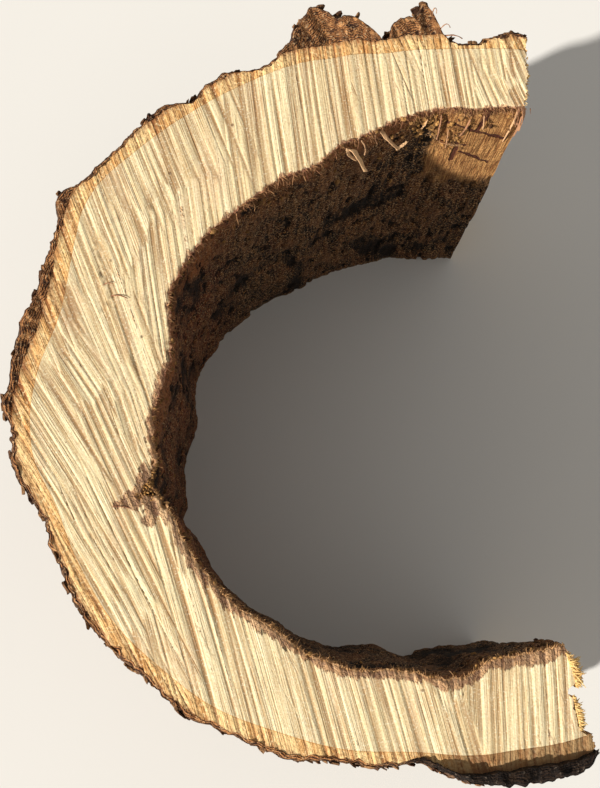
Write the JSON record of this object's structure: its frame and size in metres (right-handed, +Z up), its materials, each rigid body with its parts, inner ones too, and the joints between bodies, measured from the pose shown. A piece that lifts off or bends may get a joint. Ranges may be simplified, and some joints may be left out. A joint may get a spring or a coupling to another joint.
{
  "type": "split log",
  "caption": "Length of hollow tree trunk with one side split away: a thick C-shaped wall of pale wood with bark outside and a rotted hollow inside, standing on a sawn end.",
  "frame": {"origin": "middle of the bounding box, on the lower sawn end that the log stands on", "axes": "+Z up the grain, from the lower sawn end to the upper one; +X out of the open side of the C; +Y across, towards the arm with the thick bark plates"},
  "size_m": [0.3644, 0.5048, 0.29],
  "materials": {
    "wood": "pale sapwood, sawn across by a chainsaw, matt",
    "inner_bark": "orange-tan inner bark, sawn, matt",
    "outer_bark": "dark brown furrowed bark, flaky and rough",
    "rotted_wood": "dark brown decayed heartwood, crumbly and matt"
  },
  "bodies": {
    "root": {"split_log": "wood"}
  },
  "joints": []
}
